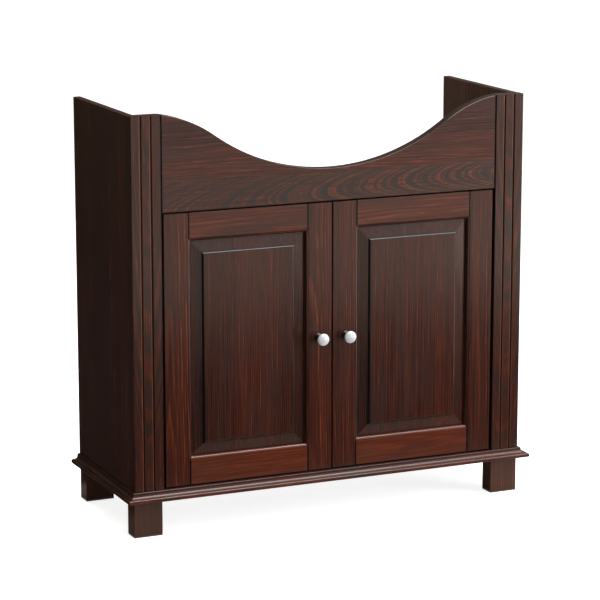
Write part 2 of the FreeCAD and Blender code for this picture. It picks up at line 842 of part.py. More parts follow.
def raised_panel(word, low_x):
    edge = stile_width - groove_depth + tongue_short
    tongue_front = door_front + groove_front + tongue_play
    tongue = box(word + "_panel_tongue", (low_x + edge, tongue_front, door_bottom + edge),
                 (door_width - edge * 2, groove_width - tongue_play * 2, door_height - edge * 2))
    bevel = doc.addObject("Part::Wedge", word + "_panel_bevel")
    bevel_edge = stile_width + bevel_play
    wide = door_width - bevel_edge * 2
    tall = door_height - bevel_edge * 2
    bind(bevel, Xmin=zero, Xmax=wide, Zmin=zero, Zmax=tall, Ymin=zero, Ymax=bevel_rise)
    bind(bevel, X2min=bevel_width, X2max=wide - bevel_width, Z2min=bevel_width, Z2max=tall - bevel_width)
    flip = FreeCAD.Rotation(FreeCAD.Vector(1, 0, 0), 180)
    place(bevel, low_x + bevel_edge, tongue_front, door_top - bevel_edge, flip)
    inset = bevel_edge + bevel_width
    field_front = tongue_front - bevel_rise - field_step
    field = box(word + "_panel_field", (low_x + inset, field_front, door_bottom + inset),
                (door_width - inset * 2, tongue_front - field_front, door_height - inset * 2))
    whole = fuse(word + "_panel_whole", [tongue, bevel, field])
    front = field_front.value
    rounded = ease(word + "_panel_rounded", whole, field_round, lambda edge: lies_at(edge.YMin, edge.YMax, front))
    node(word + "_door_panel", rounded)


# Metal on the doors: cups, pins, knobs, strike plates and screws

def cup_x(side):
    return side * (pivot_x + cup_offset)


def cup_bodies(name, side):
    return [rod(f"{name}_cup_{n}", (cup_x(side), door_back - cup_depth, z), cup_radius, cup_depth, "y")
            for n, z in enumerate(hinge_heights)]


def cup_screw_shanks(name, side):
    x = cup_x(side)
    y = door_back - cup_screw_hold
    return [rod(f"{name}_cup_screw_{n}_{end}", (x, y, z + end * cup_screw_spread), screw_radius,
                cup_screw_hold + flange_thick, "y")
            for n, z in enumerate(hinge_heights) for end in (-1, 1)]


def hinge_pin(name, side, z):
    length = (cup_radius - cup_wall / 4) * 2
    return rod(name + "_pin", (side * pivot_x, pivot_y, z - length / 2), pin_radius, length, "z")


def hinge_cup(name, side, shell, screw_holes, z):
    flange_tall = (cup_screw_spread + flange_margin) * 2
    flange = box(name + "_flange", (cup_x(side) - flange_width / 2, door_back, z - flange_tall / 2),
                 (flange_width, flange_thick, flange_tall))
    rim = rod(name + "_rim", (cup_x(side), door_back, z), cup_radius + flange_thick, flange_thick, "y")
    hollow = rod(name + "_hollow", (cup_x(side), door_back - cup_depth + cup_wall, z), cup_radius - cup_wall,
                 cup_depth + flange_thick, "y")
    solid = fuse(name + "_solid", [shell, flange, rim])
    return cut(name + "_done", solid, [hollow, hinge_pin(name + "_hole", side, z)] + screw_holes)


def door_hinges(word, side):
    shells = cup_bodies(word + "_shell", side)
    screw_holes = cup_screw_shanks(word + "_flange", side)
    shanks = cup_screw_shanks(word + "_shank", side)
    cups = []
    pins = []
    heads = []
    for number, z in enumerate(hinge_heights):
        pair = screw_holes[number * 2:number * 2 + 2]
        cups.append(hinge_cup(f"{word}_cup_{number}", side, shells[number], pair, z))
        pins.append(hinge_pin(f"{word}_loose_{number}", side, z))
        for end in (-1, 1):
            at = (cup_x(side), door_back + flange_thick, z + end * cup_screw_spread)
            heads.append(rod(f"{word}_cup_head_{number}_{end}", at, screw_head_radius, screw_head_thick, "y"))
    node(word + "_hinge_cups", group(word + "_cups_group", cups))
    node(word + "_hinge_pins", group(word + "_pins_group", pins))
    screws = [fuse(f"{shank.Name}_solid", [head, shank]) for head, shank in zip(heads, shanks)]
    node(word + "_cup_screws", group(word + "_cup_screws_group", screws))


def knob_bore(name, side):
    return rod(name + "_knob_bore", (side * knob_x, door_front - knob_screw_hold, knob_z), knob_screw_radius,
               door_thick + knob_screw_hold, "y")


def strike_stub(name, side):
    at = (side * strike_x, door_back - stub_length, strike_z)
    return rod(name + "_strike_stub", at, stub_radius, stub_length, "y")


def door_fittings(word, side):
    knob = knob_body(word, side)
    node(word + "_knob", cut(word + "_knob_bored", knob, [knob_bore(word + "_knob", side)]))
    at = (side * knob_x, door_back, knob_z)
    head = rod(word + "_knob_screw_head", at, knob_screw_radius * 2, knob_screw_head, "y")
    node(word + "_knob_screw", fuse(word + "_knob_screw_solid", [head, knob_bore(word + "_screw", side)]))
    at = (side * strike_x, door_back, strike_z)
    disc = rod(word + "_strike_disc", at, strike_radius, strike_thick, "y")
    node(word + "_strike_plate", fuse(word + "_strike_solid", [disc, strike_stub(word + "_plate", side)]))


def knob_body(word, side):
    body = new_body(word + "_knob_body")
    sketch = new_sketch(body, word + "_knob_outline", "XY_Plane")
    head = knob_size / 2
    stem = head * 0.4
    rim = head * 0.9
    dome_rise = knob_reach * 0.1
    # The dome's centre lies on the knob's axis
    dome_radius = (rim * rim + dome_rise * dome_rise) / (dome_rise * 2)
    # The base flares to the door in one hollow curve, which leaves the stem smoothly
    flare = head * 0.76
    flare_start = knob_reach * 0.05
    flare_end = knob_reach * 0.38
    flare_out = flare - stem
    flare_rise = flare_end - flare_start
    flare_radius = (flare_out * flare_out + flare_rise * flare_rise) / (flare_out * 2)
    outline(sketch, [
        (zero, zero),
        (flare, zero),
        (flare, flare_start, flare_radius, "left"),
        (stem, flare_end),
        (stem, knob_reach * 0.45, head * 0.6, "left"),
        (rim, knob_reach * 0.65, head * 0.4, "right"),
        (rim, knob_reach - dome_rise, dome_radius, "right"),
        (zero, knob_reach),
    ])
    turning = body.newObject("PartDesign::Revolution", word + "_knob_turned")
    turning.Profile = sketch
    turning.ReferenceAxis = (sketch, ["V_Axis"])
    turning.Angle = 360
    body.Tip = turning
    place(body, side * knob_x, door_front, knob_z, FreeCAD.Rotation(FreeCAD.Vector(0, 0, 1), 180))
    return body


# The magnetic catch behind the apron, which stops both doors

catch_back = front_y + apron_setback + apron_thick + catch_depth
catch_screw_z = apron_bottom + catch_rise / 2
catch_screw_places = [-catch_width / 3, catch_width / 3]


def catch_screw_shanks(name):
    length = catch_depth + catch_screw_hold
    return [rod(f"{name}_catch_screw_{n}", (x, catch_back - length, catch_screw_z), screw_radius, length, "y")
            for n, x in enumerate(catch_screw_places)]


def catch():
    stop = door_back + strike_thick + catch_gap + magnet_proud
    low = strike_z - strike_radius
    block = box("catch_board", (-catch_width / 2, catch_back - catch_depth, low),
                (catch_width, catch_depth, apron_bottom + catch_rise - low))
    notch = box("catch_notch", (-catch_width / 2, catch_back - catch_depth, low),
                (catch_width, stop - catch_back + catch_depth, apron_bottom - low))
    seats = []
    magnets = []
    for word, side in sides.items():
        x = side * strike_x
        seats.append(rod(f"catch_seat_{word}", (x, stop, strike_z), magnet_radius, magnet_depth, "y"))
        at = (x, stop - magnet_proud, strike_z)
        magnets.append(rod(f"catch_magnet_{word}", at, magnet_radius, magnet_depth + magnet_proud, "y"))
    node("catch_block", cut("catch_cut", block, [notch] + seats + catch_screw_shanks("catch")))
    node("catch_magnets", group("catch_magnets_group", magnets))
    heads = [rod(f"catch_head_{n}", (x, catch_back, catch_screw_z), screw_head_radius, screw_head_thick, "y")
             for n, x in enumerate(catch_screw_places)]
    shanks = catch_screw_shanks("loose")
    screws = [fuse(f"{shank.Name}_solid", [head, shank]) for head, shank in zip(heads, shanks)]
    node("catch_screws", group("catch_screws_group", screws))


# Assemble everything

plate_screws = []
arm_screws = []
for word, side in sides.items():
    side_panel(word, side)
    pilaster(word, side)
    hinge_batten(word, side)
    plates, arms = hinge_metal(word, side)
    plate_screws += plates
    arm_screws += arms
    door(word, side)
node("hinge_plate_screws", group("plate_screws_group", plate_screws))
node("hinge_arm_screws", group("arm_screws_group", arm_screws))
apron()
base_frame()
feet()
rear_rail()
dowel_groups()
catch()
doc.recompute()

# Check every object before anything is written
for item in doc.Objects:
    if "Invalid" in item.State or "Error" in item.State:
        raise RuntimeError(f"{item.Name} did not rebuild: {item.State}")
for item in finished:
    if item.Shape.isNull() or not item.Shape.isValid() or not item.Shape.Solids:
        raise RuntimeError(f"{item.Label} has no sound shape")

os.makedirs("parts", exist_ok=True)
for item in finished:
    item.Shape.exportStep(f"parts/{item.Label}.step")
print(len(finished), "sub-parts written")
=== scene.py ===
import math
import bpy
from mathutils import Matrix, Vector


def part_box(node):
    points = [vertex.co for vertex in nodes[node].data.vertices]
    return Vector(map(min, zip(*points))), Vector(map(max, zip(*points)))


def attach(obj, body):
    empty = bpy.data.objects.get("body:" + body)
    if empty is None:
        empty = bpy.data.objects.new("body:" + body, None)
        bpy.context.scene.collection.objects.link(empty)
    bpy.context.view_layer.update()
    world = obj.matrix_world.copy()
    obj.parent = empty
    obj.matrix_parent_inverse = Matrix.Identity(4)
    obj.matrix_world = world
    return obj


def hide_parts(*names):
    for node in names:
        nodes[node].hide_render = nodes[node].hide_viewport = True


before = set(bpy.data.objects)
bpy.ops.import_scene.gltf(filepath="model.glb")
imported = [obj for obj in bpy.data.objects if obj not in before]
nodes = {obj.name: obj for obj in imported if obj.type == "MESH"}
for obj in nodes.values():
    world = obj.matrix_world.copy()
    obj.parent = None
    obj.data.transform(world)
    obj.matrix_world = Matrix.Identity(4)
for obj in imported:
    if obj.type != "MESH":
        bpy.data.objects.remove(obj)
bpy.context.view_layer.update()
scene = bpy.context.scene
print("frame loaded,", len(nodes), "nodes")

axisOrder = {"x": 0, "y": 1, "z": 2}


# a shader socket that takes plain arithmetic
class Wire:
    def __init__(self, tree, socket):
        self.tree = tree
        self.socket = socket

    def maths(self, operation, *feeds):
        return mathNode(self.tree, operation, self, *feeds)

    def __add__(self, other):
        return mathNode(self.tree, "ADD", self, other)

    def __sub__(self, other):
        return mathNode(self.tree, "SUBTRACT", self, other)

    def __rsub__(self, other):
        return mathNode(self.tree, "SUBTRACT", other, self)

    def __mul__(self, other):
        return mathNode(self.tree, "MULTIPLY", self, other)

    def __truediv__(self, other):
        return mathNode(self.tree, "DIVIDE", self, other)

    def swap(self, factor, other):  # this value, or the other where the factor is 1
        return self + (other - self) * factor


def put(tree, kind, feeds=None, **settings):
    node = tree.nodes.new("ShaderNode" + kind)
    for setting, value in settings.items():
        setattr(node, setting, value)
    for socket, feed in (feeds or {}).items():
        plug(tree, node.inputs[socket], feed)
    return node


def plug(tree, socket, feed):
    if isinstance(feed, Wire):
        tree.links.new(feed.socket, socket)
    elif isinstance(feed, bpy.types.NodeSocket):
        tree.links.new(feed, socket)
    else:
        socket.default_value = feed


def mathNode(tree, operation, *feeds):
    return Wire(tree, put(tree, "Math", dict(enumerate(feeds)), operation=operation).outputs[0])


def remap(value, fromLow, fromHigh, toLow=0.0, toHigh=1.0):  # smooth at both ends
    feeds = {"Value": value, "From Min": fromLow, "From Max": fromHigh, "To Min": toLow, "To Max": toHigh}
    return Wire(value.tree, put(value.tree, "MapRange", feeds, interpolation_type="SMOOTHSTEP").outputs[0])


def mixColour(factor, first, second, mode="MIX"):
    tree = first.tree
    node = put(tree, "Mix", data_type="RGBA", blend_type=mode)
    colours = [socket for socket in node.inputs if socket.type == "RGBA"]
    for socket, feed in zip([node.inputs[0]] + colours, (factor, first, second)):
        plug(tree, socket, feed)
    return Wire(tree, [socket for socket in node.outputs if socket.type == "RGBA"][0])


def darken(colour, shade):
    return mixColour(1.0, colour, joinVector(shade, shade, shade), "MULTIPLY")


def noise(vector, detail=2.0, rough=0.5, scale=1.0):
    feeds = {"Vector": vector, "Scale": scale, "Detail": detail, "Roughness": rough}
    return Wire(vector.tree, put(vector.tree, "TexNoise", feeds).outputs["Fac"])


def joinVector(x, y, z):
    tree = next(feed.tree for feed in (x, y, z) if isinstance(feed, Wire))
    return Wire(tree, put(tree, "CombineXYZ", {0: x, 1: y, 2: z}).outputs[0])


def splitVector(tree, vector):
    return [Wire(tree, socket) for socket in put(tree, "SeparateXYZ", {0: vector}).outputs]


def ramp(factor, stops):
    node = put(factor.tree, "ValToRGB", {"Fac": factor})
    bar = node.color_ramp.elements
    while len(bar) < len(stops):
        bar.new(0.5)
    for element, (place, colour) in zip(bar, stops):
        element.position = place
        element.color = (*colour, 1)
    return Wire(factor.tree, node.outputs["Color"])


def startMaterial(name, **fixed):
    material = bpy.data.materials.new(name)
    material.use_nodes = True
    tree = material.node_tree
    tree.nodes.clear()
    shader = put(tree, "BsdfPrincipled", fixed)
    put(tree, "OutputMaterial", {"Surface": shader.outputs[0]})
    return material, tree, shader


def dress(nodeName, material):
    slots = nodes[nodeName].data.materials
    slots.clear()
    slots.append(material)


# stained pine: growth rings round a leaning pith, in glued staves
pineStain = {
    "early": (0.023, 0.0056, 0.0031),  # soft wood drinks the stain
    "middle": (0.053, 0.0110, 0.0048),
    "late": (0.094, 0.0175, 0.0066),
    "flame": (0.190, 0.0400, 0.0135),  # hard wood stays red
    "cloud": (0.0235, 0.0190, 0.0172),  # grey pigment left on the surface
    "worn": (0.24, 0.070, 0.026),  # arrises rubbed back
    "sawn": (0.022, 0.0085, 0.0045),  # end grain and the bow-sawn edge
    "wash": (0.130, 0.073, 0.051),  # thin brown coat
    "innerSoft": (0.098, 0.054, 0.037),  # one coat inside, over soft and hard wood
    "innerHard": (0.190, 0.113, 0.080),
    "paintedStepShade": (0.007, 0.005, 0.0045),  # painted shade: near-black on the step round a raised field
    "gloss": 0.50,
}

# scale of each noise along and across the grain, per metre
grainScale = {
    "waver": (14.0, 90.0),
    "runs": (22.0, 420.0),
    "fibre": (11.0, 900.0),
    "streak": (3.2, 260.0),
    "cloud": (7.0, 26.0),
}


def grainNoise(kind, along, across, third, *settings):
    lengthwise, crosswise = grainScale[kind]
    return noise(joinVector(along * lengthwise, across * crosswise, third), *settings)


# a spot on a board: where it lies, which way it faces and how the grain marks it
class BoardSpot:
    def __init__(self, tree, nodeName, board):
        low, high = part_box(nodeName)
        thick = next(axis for axis in "xyz" if axis not in (board["grain"], board["spread"]))
        order = [axisOrder[axis] for axis in (board["grain"], board["spread"], thick)]
        coordinates = put(tree, "TexCoord").outputs
        place = splitVector(tree, coordinates["Object"])
        facing = splitVector(tree, coordinates["Normal"])
        self.tree, self.seed = tree, board["seed"]
        self.along, self.across, self.depth = (place[axis] - (low[axis] + high[axis]) / 2 for axis in order)
        self.halfLong, self.halfWide = ((high[axis] - low[axis]) / 2 for axis in order[:2])
        self.alongFace, self.acrossFace, self.thickFace = (facing[axis].maths("ABSOLUTE") for axis in order)
        self.outward = facing[order[2]]
        through = self.depth * grainScale["fibre"][1]
        self.fibre = grainNoise("fibre", self.along, self.across, through, 3.0, 0.6)
        self.streak = grainNoise("streak", self.along, self.across, self.seed, 3.0, 0.6)
        self.cloud = grainNoise("cloud", self.along, self.across, self.seed + 3.3, 4.0, 0.6)


# late wood as shares of a ring; some years and some runs of it are faint
ringShape = {"grows": (0.30, 0.85), "stops": (0.90, 1.0), "faintYear": 0.35, "faintRun": 0.30,
             "runEdge": (0.36, 0.60), "waver": 0.9}


def lateWoodAt(spot, count):
    tree, inRing = spot.tree, count.maths("FRACT")
    chance = put(tree, "TexWhiteNoise", {"W": count.maths("FLOOR")}, noise_dimensions="1D").outputs["Value"]
    year = remap(Wire(tree, chance), 0.0, 1.0, ringShape["faintYear"], 1.0)
    runs = grainNoise("runs", spot.along, spot.across, spot.seed + 5.1)
    # early wood grows slowly into late wood, which stops short
    late = remap(inRing, *ringShape["grows"]) - remap(inRing, *ringShape["stops"])
    return late * year * remap(runs, *ringShape["runEdge"], ringShape["faintRun"], 1.0)


# a flamed stave has bands of hard wood a few rings wide, calmer far from its end
flameShape = {"bandRate": 0.8, "bandEdge": (0.34, 0.62), "bandShare": 0.65, "calms": (0.22, 0.42),
              "calmest": 0.7}


def featherAt(spot, count):
    feeds = {"W": count * flameShape["bandRate"], "Scale": 1.0}
    band = put(spot.tree, "TexNoise", feeds, noise_dimensions="1D").outputs["Fac"]
    bands = remap(Wire(spot.tree, band), *flameShape["bandEdge"]) * flameShape["bandShare"]
    return spot.lateWood * (1.0 - flameShape["bandShare"]) + bands


# where the pith of a stave may lie, as shares of the board's rift and pith
pithSpot = {"sideLeast": 0.4, "sideSpread": 0.6, "behindLeast": 0.5}


def growRings(spot, board):
    tree, seed = spot.tree, spot.seed
    staveSpot = spot.across / board["stave"] + board["seam"]
    stave = staveSpot.maths("FLOOR")
    chance = put(tree, "TexWhiteNoise", {"Vector": joinVector(stave, seed, 0.5)}).outputs["Color"]
    draw = [Wire(tree, socket) for socket in put(tree, "SeparateColor", {0: chance}).outputs]
    inStave = (staveSpot.maths("FRACT") - 0.5) * board["stave"]

    # where the pith of this stave lies, sideways and behind the face
    side = inStave + (draw[0] * pithSpot["sideSpread"] + pithSpot["sideLeast"]) * board["rift"]
    behind = (draw[1] + pithSpot["behindLeast"]) * board["pith"]
    behind = behind + spot.along * (draw[2] - 0.5) * board["lean"]
    ring = board["ring"]
    flame = board.get("flame")
    if flame:
        chosen = stave.maths("COMPARE", flame["stave"], 0.5)
        fromEnd = flame["end"] - spot.along
        side = side.swap(chosen, inStave + fromEnd * fromEnd * flame["drift"] - flame["lift"])
        behind = behind.swap(chosen, fromEnd * flame["lean"] + flame["pith"])
        ring = chosen * (flame["ring"] - ring) + ring
    sway = [noise(joinVector(spot.along * board["bend"], stave, seed + shift)) - 0.5 for shift in (0.0, 7.7)]
    side = side + sway[0] * board["wander"]
    deep = spot.depth - behind + sway[1] * board["wander"]
    radius = (side * side + deep * deep).maths("SQRT")

    count = radius / ring + grainNoise("waver", spot.along, spot.across, seed) * ringShape["waver"]
    spot.lateWood = lateWoodAt(spot, count)
    spot.figure = spot.lateWood * board["figure"]
    spot.staveTone, spot.flamed = draw[2], None
    if flame:
        feather = featherAt(spot, count)
        calm = remap(fromEnd, *flameShape["calms"], 1.0, flameShape["calmest"])
        spot.figure = spot.figure.swap(chosen, (feather * flame["figure"] - flame["dip"]) * calm)
        spot.lateWood = spot.lateWood.swap(chosen, feather)
        spot.flamed = chosen * calm


# tones at which each shade is reached, and how well the other coats cover
coats = {"shades": ((0.0, "early"), (0.42, "middle"), (0.72, "late"), (1.0, "flame")),
         "thinShades": ((0.1, "innerSoft"), (0.9, "innerHard")), "cloudEdge": (0.42, 0.70),
         "cloudOffLate": 0.9, "thinCover": 0.85, "sawnCover": 0.85}


def pigment(name):
    return (*pineStain[name], 1)


def shadeBy(tone, shades):
    return ramp(tone, [(place, pineStain[shade]) for place, shade in shades])


# how far a face turns from the front, the end or the side of its board, as cosines
faceTurn = {"inner": (0.5, 0.9), "end": (0.55, 0.85), "edge": (0.99, 0.93), "step": (0.975, 0.93),
            "arrisIn": (0.20, 0.50), "arrisOut": (0.97, 0.88),
            "slopeIn": (0.08, 0.14), "slopeOut": (0.40, 0.25)}


def brushStain(spot, board):
    tone = spot.figure + board["tone"] + (spot.streak - 0.5) * board["streak"]
    tone = tone + (spot.fibre - 0.5) * board["fibre"] + (spot.staveTone - 0.5) * board["vary"]
    stained = shadeBy(tone, coats["shades"])
    greyed = remap(spot.cloud, *coats["cloudEdge"]) * board["cloud"]
    if spot.flamed:
        greyed = greyed.swap(spot.flamed, board["flame"]["cloud"])
    stained = mixColour(greyed * (1.0 - spot.lateWood * coats["cloudOffLate"]), stained, pigment("cloud"))
    if board["wash"]:
        stained = mixColour(board["wash"], stained, pigment("wash"))
    if board["inside"]:  # the inner face has one thin coat
        inner = remap(spot.outward * board["inside"], *faceTurn["inner"])
        stained = mixColour(inner * coats["thinCover"], stained, shadeBy(tone, coats["thinShades"]))
    return stained


# arrises are rubbed in patches, and on a pilaster only beside the flutes
rub = {"patchEdge": (0.30, 0.60), "leastPatch": 0.25, "fluteFade": 0.003}


# end grain, sawn edges, rubbed arrises and painted shade on the step of a raised field
def rubDown(spot, board, stained):
    sawnEdge = remap(spot.thickFace, *faceTurn["edge"]) * board["sawn"]
    spot.sawn = remap(spot.alongFace, *faceTurn["end"]).maths("MAXIMUM", sawnEdge)
    stained = mixColour(spot.sawn * coats["sawnCover"], stained, pigment("sawn"))
    spot.arris = remap(spot.thickFace, *faceTurn["arrisIn"]) * remap(spot.thickFace, *faceTurn["arrisOut"])
    rubbed = spot.arris * remap(spot.streak, *rub["patchEdge"], rub["leastPatch"], 1.0) * board["wear"]
    if board["flutes"]:
        fromMiddle = spot.across.maths("ABSOLUTE")
        rubbed = rubbed * remap(fromMiddle, board["flutes"] + rub["fluteFade"], board["flutes"])
    stained = mixColour(rubbed, stained, pigment("worn"))
    # painted shade: the step round a raised field is coloured near-black
    if board["paintedStepShade"]:
        stained = mixColour(remap(spot.thickFace, *faceTurn["step"]), stained, pigment("paintedStepShade"))
    return stained


# where the dark line of a joint starts and where it is full, in widths of the joint
jointEdge = (-1.6, -0.7)


# stain run into the open joint at the ends or the side of a board
def jointLine(spot, joint):
    if joint["at"] == "ends":
        inset = spot.along.maths("ABSOLUTE") - (spot.halfLong - joint["tenon"])
        turn = spot.along.maths("SIGN")
    else:
        inset = spot.across * joint["hand"] - spot.halfWide
        turn = joint["hand"]
    spot.groove = remap(inset, *[joint["wide"] * share for share in jointEdge])
    spot.step = spot.groove * turn  # the right-hand side of a joint stands a hair proud


# painted shade in corners and cracks, on the slopes beside a raised field and on darkened arrises, and dark
# stain run into joints
shadeAndJoint = {"corner": 0.009, "crack": 0.0025, "cornerEdge": (0.10, 0.80), "crackEdge": (0.30, 0.85),
          "darkest": 0.30, "joint": 0.95, "samples": 4}


def openness(tree, reach):
    node = put(tree, "AmbientOcclusion", {"Distance": reach}, samples=shadeAndJoint["samples"])
    return Wire(tree, node.outputs["AO"])


def paintShadeAndJoints(spot, board):
    # painted shade: colour darkens where ambient occlusion finds corners and cracks
    spot.corner = openness(spot.tree, shadeAndJoint["corner"])
    crack = remap(openness(spot.tree, shadeAndJoint["crack"]), *shadeAndJoint["crackEdge"], shadeAndJoint["darkest"], 1.0)
    shade = remap(spot.corner, *shadeAndJoint["cornerEdge"], shadeAndJoint["darkest"], 1.0) * crack
    # painted shade on the side slopes beside a raised field
    slope = remap(spot.acrossFace, *faceTurn["slopeIn"]) * remap(spot.acrossFace, *faceTurn["slopeOut"])
    # painted shade on the arrises, by the board's edge share
    shade = shade * (1.0 - slope * board["slope"]) * (1.0 - spot.arris * board["edge"])
    if "joint" in board:
        shade = shade * (1.0 - spot.groove * shadeAndJoint["joint"])
    return shade


# satin lacquer, dull in corners and on sawn wood
lacquer = {"smooth": 0.15, "fibrous": 0.22, "fibreEdge": (0.2, 0.8), "clouded": 0.05, "corner": 0.6,
           "cornerEdge": (0.60, 0.15), "sawn": 0.20, "relief": 0.0003, "strength": 0.22, "ringRelief": 0.5}


def layLacquer(spot, board, shader):
    tree = spot.tree
    satin = remap(spot.fibre, *lacquer["fibreEdge"], lacquer["smooth"], lacquer["fibrous"])
    satin = satin + spot.cloud * lacquer["clouded"] + board["matt"]
    dull = remap(spot.corner, *lacquer["cornerEdge"], 0.0, lacquer["corner"])
    plug(tree, shader.inputs["Roughness"], satin + dull + spot.sawn * lacquer["sawn"])
    ridges = spot.lateWood * lacquer["ringRelief"] + spot.fibre
    relief = {"Strength": lacquer["strength"], "Distance": lacquer["relief"], "Height": ridges}
    bump = put(tree, "Bump", relief)
    if "joint" in board:
        proud = {"Strength": 1.0, "Distance": board["joint"]["wide"], "Height": spot.step}
        bump = put(tree, "Bump", dict(proud, Normal=bump.outputs[0]))
    plug(tree, shader.inputs["Normal"], bump.outputs[0])


def stainBoard(nodeName, board):
    material, tree, shader = startMaterial(nodeName + "Stain", **{"Specular IOR Level": pineStain["gloss"]})
    spot = BoardSpot(tree, nodeName, board)
    growRings(spot, board)
    stained = rubDown(spot, board, brushStain(spot, board))
    if "joint" in board:
        jointLine(spot, board["joint"])
    # the base colour carries painted shade and dark joints
    plug(tree, shader.inputs["Base Color"], darken(stained, paintShadeAndJoints(spot, board)))
    layLacquer(spot, board, shader)
    dress(nodeName, material)


# a plain upright board, and how the others differ from it
upright = {
    "grain": "z", "spread": "x",  # axes along and across the grain
    "stave": 0.060, "seam": 0.35,  # width of a glued stave, and where its seams fall
    "rift": 0.07, "pith": 0.02, "lean": 0.05,  # how far off the pith lies, and how it leans
    "ring": 0.0027, "bend": 2.0, "wander": 0.014,  # width of a year, and how the grain sways
    "tone": 0.24, "vary": 0.22, "figure": 0.58, "fibre": 1.5, "streak": 0.5,  # how red, and how lively
    "cloud": 0.35, "wash": 0.0, "paintedStepShade": False,  # grey clouds, other coats, and painted shade on a field's step
    "inside": 0,  # which way the inner face looks, if it has the thin coat
    "wear": 0.3, "flutes": 0.0, "edge": 0.0,  # arrises rubbed, how far from the middle, and painted shade on arrises
    "sawn": 0.0, "slope": 0.0, "matt": 0.0,  # sawn edge, painted shade on side slopes, duller lacquer
}
level = dict(upright, grain="x", spread="z", bend=2.5, ring=0.0033)
foot = dict(upright, tone=0.36, wash=0.32)
moulding = dict(level, tone=0.26, cloud=0.5, wear=0.15, figure=0.75, matt=0.07)
# arched grain on the pilasters, each cut from one board
arches = {"stave": 0, "end": 0.30, "drift": 0.02, "lift": 0.002, "lean": 0.085, "pith": 0.010,
          "ring": 0.0022, "figure": 0.60, "dip": 0.12, "cloud": 0.62}
pilaster = dict(upright, stave=0.2, flutes=0.016, seam=0.5, vary=0.0, wander=0.010, fibre=2.0, wear=0.95)
boards = {
    "left_side_panel": dict(upright, spread="y", tone=0.28, wash=0.08, inside=1, seed=1.3),
    "right_side_panel": dict(upright, spread="y", tone=0.28, wash=0.08, inside=-1, seed=2.9),
    "left_pilaster": dict(pilaster, tone=0.26, joint={"at": "side", "hand": 1, "wide": 0.0010}, seed=4.1,
                          flame=dict(arches, end=0.12, pith=0.018, lean=0.060, cloud=0.5)),
    "right_pilaster": dict(pilaster, tone=0.26, joint={"at": "side", "hand": -1, "wide": 0.0004}, seed=5.6,
                           flame=arches),
    "apron": dict(level, stave=0.047, seam=0.617, rift=0.05, pith=0.015, wear=0.1, cloud=0.5, ring=0.0024,
                  fibre=2.2, sawn=1.0, seed=6.2, joint={"at": "ends", "tenon": 0.0, "wide": 0.0006},
                  flame={"stave": -1, "end": 0.27, "drift": 0.12, "lift": 0.004, "lean": 0.10, "pith": 0.022,
                         "ring": 0.0011, "figure": 1.15, "dip": 0.25, "cloud": 0.9}),
    "left_hinge_batten": dict(upright, spread="y", seed=7.4),
    "right_hinge_batten": dict(upright, spread="y", seed=8.8),
    "base_front_moulding": dict(moulding, spread="y", seed=9.1),
    "base_left_moulding": dict(moulding, grain="y", spread="x", seed=10.4),
    "base_right_moulding": dict(moulding, grain="y", spread="x", seed=11.7),
    "base_rear_rail": dict(level, seed=12.3),
    "bottom_panel": dict(level, spread="y", seed=13.5),
    "rear_rail": dict(level, seed=14.2),
    "front_left_foot": dict(foot, seed=15.1),
    "front_right_foot": dict(foot, seed=16.6),
    "rear_left_foot": dict(foot, seed=17.2),
    "rear_right_foot": dict(foot, seed=18.9),
}
# stiles and top rails get painted shade on their arrises
stile = dict(upright, stave=0.2, cloud=0.25, wear=0.08, edge=0.55)
rail = dict(level, stave=0.2, joint={"at": "ends", "tenon": 0.008, "wide": 0.0018})
topRail = dict(rail, tone=0.57, cloud=0.3, wear=0.06, edge=0.55, fibre=1.6, figure=0.40)
bottomRail = dict(rail, cloud=0.3, fibre=0.7, figure=0.12, streak=0.25)
# the raised panel gets painted shade on its side slopes and on the step round its field
raisedPanel = dict(upright, slope=0.25, cloud=0.45, wear=0.0, paintedStepShade=True)
for hand, shift, redness in (("left", 0.0, 0.80), ("right", 10.0, 0.66)):  # the left bottom rail is redder
    boards[hand + "_door_hinge_stile"] = dict(stile, tone=0.25, seed=21.3 + shift)
    boards[hand + "_door_meeting_stile"] = dict(stile, tone=0.23, seed=22.9 + shift)
    boards[hand + "_door_top_rail"] = dict(topRail, seed=23.4 + shift)
    boards[hand + "_door_bottom_rail"] = dict(bottomRail, tone=redness, seed=24.8 + shift)
    boards[hand + "_door_panel"] = dict(raisedPanel, seed=25.5 + shift)
for nodeName, board in boards.items():
    stainBoard(nodeName, board)
print("pine stained on", len(boards), "boards")

# bare beech dowels
beech = {"shades": ((0.35, (0.60, 0.40, 0.24)), (0.75, (0.42, 0.25, 0.13))),  # pale, then flecked
         "alongScale": 160.0, "acrossScale": 1800.0, "rough": 0.62, "strength": 0.2, "relief": 0.0002}


def beechDowel(nodeName, grain):
    material, tree, shader = startMaterial(nodeName + "Beech", Roughness=beech["rough"])
    place = splitVector(tree, put(tree, "TexCoord").outputs["Object"])
    stretch = [beech["alongScale" if axis == grain else "acrossScale"] for axis in "xyz"]
    fleck = noise(joinVector(*[wire * scale for wire, scale in zip(place, stretch)]), 3.0, 0.6)
    plug(tree, shader.inputs["Base Color"], ramp(fleck, beech["shades"]))
    bump = put(tree, "Bump", {"Strength": beech["strength"], "Distance": beech["relief"], "Height": fleck})
    plug(tree, shader.inputs["Normal"], bump.outputs[0])
    dress(nodeName, material)


for place, grain in {"apron": "x", "rail": "x", "pilaster": "z", "side": "z", "foot": "z"}.items():
    beechDowel(place + "_dowels", grain)
print("dowels done")

